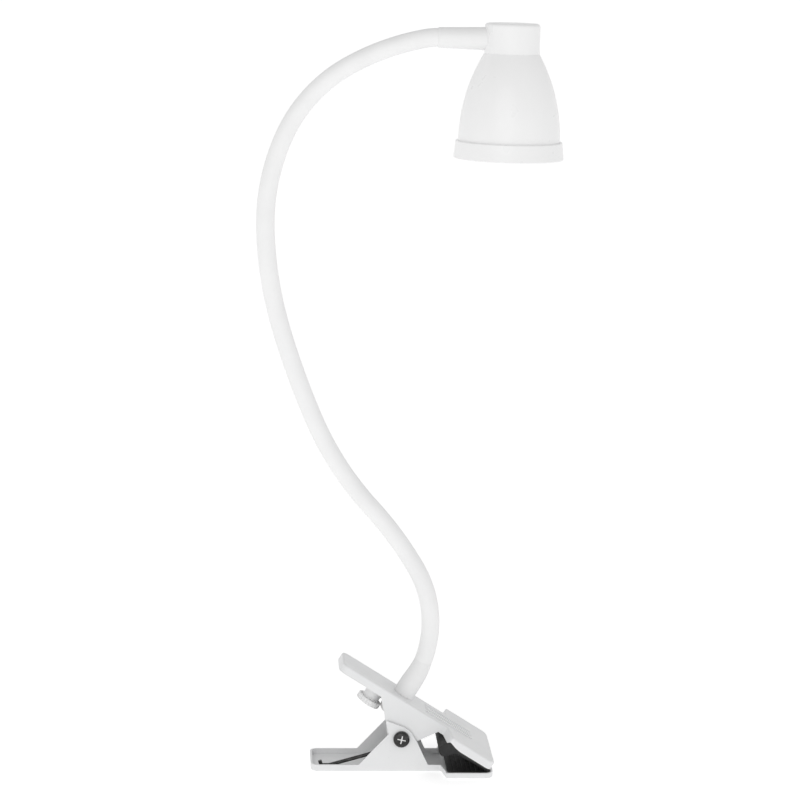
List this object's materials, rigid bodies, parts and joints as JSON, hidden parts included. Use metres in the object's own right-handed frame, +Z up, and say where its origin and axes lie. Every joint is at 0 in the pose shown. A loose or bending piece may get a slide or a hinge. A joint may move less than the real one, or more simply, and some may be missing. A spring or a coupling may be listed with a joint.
{
  "type": "clip on reading lamp",
  "caption": "Sprung steel clamp with rubber pads, a flexible gooseneck that curves up and over, and a bell shaped reading head that points straight down.",
  "frame": {"origin": "on the flat underside of the lower jaw, straight below the clamp's pivot and midway between its sides", "axes": "+X towards the jaw tips, -Y towards the side with the pivot screw's head, +Z up from the surface the lower jaw lies on"},
  "size_m": [0.1771, 0.0638, 0.4417],
  "materials": {
    "painted_steel": "satin",
    "black_screw": "satin",
    "zinc_steel": "satin",
    "spring_steel": "satin",
    "pad_rubber": "matte",
    "gland_plastic": "satin",
    "neck_skin": "satin",
    "neck_steel": "satin",
    "lead_sheath": "satin",
    "ferrule_plastic": "satin",
    "shade_plastic": "satin",
    "diffuser": "matte",
    "reflector_white": "gloss",
    "board_white": "satin",
    "led_phosphor": "satin",
    "cast_aluminium": "matte",
    "driver_green": "satin",
    "wire_insulation": "satin"
  },
  "bodies": {
    "lower_clamp": {"lower_jaw": "painted_steel", "lower_pad": "pad_rubber", "pivot_screw": "black_screw", "pivot_nut": "zinc_steel", "pivot_sleeve": "zinc_steel", "pivot_washers": "zinc_steel", "torsion_spring": "spring_steel"},
    "upper_clamp": {"upper_jaw": "painted_steel", "upper_pad": "pad_rubber", "gland_body": "gland_plastic", "gland_cap": "gland_plastic", "inner_lead": "lead_sheath", "neck_boot": "neck_skin", "neck_stud": "zinc_steel", "neck_nut": "zinc_steel", "neck_washer": "zinc_steel", "neck_sleeve_0": "neck_skin", "neck_core_0": "neck_steel", "neck_lead_0": "lead_sheath"},
    "neck_1": {"neck_sleeve_1": "neck_skin", "neck_core_1": "neck_steel", "neck_lead_1": "lead_sheath"},
    "neck_2": {"neck_sleeve_2": "neck_skin", "neck_core_2": "neck_steel", "neck_lead_2": "lead_sheath"},
    "neck_3": {"neck_sleeve_3": "neck_skin", "neck_core_3": "neck_steel", "neck_lead_3": "lead_sheath"},
    "neck_4": {"neck_sleeve_4": "neck_skin", "neck_core_4": "neck_steel", "neck_lead_4": "lead_sheath"},
    "neck_5": {"neck_sleeve_5": "neck_skin", "neck_core_5": "neck_steel", "neck_lead_5": "lead_sheath"},
    "neck_6": {"neck_sleeve_6": "neck_skin", "neck_core_6": "neck_steel", "neck_lead_6": "lead_sheath"},
    "neck_7": {"neck_sleeve_7": "neck_skin", "neck_core_7": "neck_steel", "neck_lead_7": "lead_sheath"},
    "neck_8": {"neck_sleeve_8": "neck_skin", "neck_core_8": "neck_steel", "neck_lead_8": "lead_sheath"},
    "lamp_head": {"neck_sleeve_9": "neck_skin", "neck_core_9": "neck_steel", "neck_lead_9": "lead_sheath", "head_ferrule": "ferrule_plastic", "head_nut": "zinc_steel", "head_cap": "shade_plastic", "shade_shell": "shade_plastic", "bezel_ring": "shade_plastic", "diffuser_lens": "diffuser", "reflector": "reflector_white", "led_board": "board_white", "led_chips": "led_phosphor", "board_screws": "zinc_steel", "heat_sink": "cast_aluminium", "driver_board": "driver_green", "head_wires": "wire_insulation"}
  },
  "joints": [
    {"name": "clamp_hinge", "type": "hinge", "parent": "lower_clamp", "child": "upper_clamp", "pos_m": [0, 0, 0.0203], "axis": [0, -1, 0], "range_deg": [0, 40], "stiffness_Nm_per_rad": 1.5, "springref_deg": -40.11, "deforming": ["torsion_spring"]},
    {"name": "neck_bend_1", "type": "hinge", "parent": "upper_clamp", "child": "neck_1", "pos_m": [0.01404, 0, 0.06674], "axis": [0, 1, 0], "range_deg": [-25, 25]},
    {"name": "neck_bend_2", "type": "hinge", "parent": "neck_1", "child": "neck_2", "pos_m": [0.00764, 0, 0.12077], "axis": [0.8616, 0, 0.5075], "range_deg": [-25, 25]},
    {"name": "neck_bend_3", "type": "hinge", "parent": "neck_2", "child": "neck_3", "pos_m": [-0.01937, 0, 0.15728], "axis": [0, -1, 0], "range_deg": [-25, 25]},
    {"name": "neck_bend_4", "type": "hinge", "parent": "neck_3", "child": "neck_4", "pos_m": [-0.05407, 0, 0.21071], "axis": [-0.9171, 0, -0.3987], "range_deg": [-25, 25]},
    {"name": "neck_bend_5", "type": "hinge", "parent": "neck_4", "child": "neck_5", "pos_m": [-0.07327, 0, 0.26275], "axis": [0, 1, 0], "range_deg": [-25, 25]},
    {"name": "neck_bend_6", "type": "hinge", "parent": "neck_5", "child": "neck_6", "pos_m": [-0.08315, 0, 0.32176], "axis": [0.9994, 0, 0.0349], "range_deg": [-25, 25]},
    {"name": "neck_bend_7", "type": "hinge", "parent": "neck_6", "child": "neck_7", "pos_m": [-0.07307, 0, 0.37486], "axis": [0, -1, 0], "range_deg": [-25, 25]},
    {"name": "neck_bend_8", "type": "hinge", "parent": "neck_7", "child": "neck_8", "pos_m": [-0.03509, 0, 0.41667], "axis": [-0.4848, 0, 0.8746], "range_deg": [-25, 25]},
    {"name": "neck_bend_9", "type": "hinge", "parent": "neck_8", "child": "lamp_head", "pos_m": [0.00749, 0, 0.43216], "axis": [0, 1, 0], "range_deg": [-25, 25]}
  ]
}
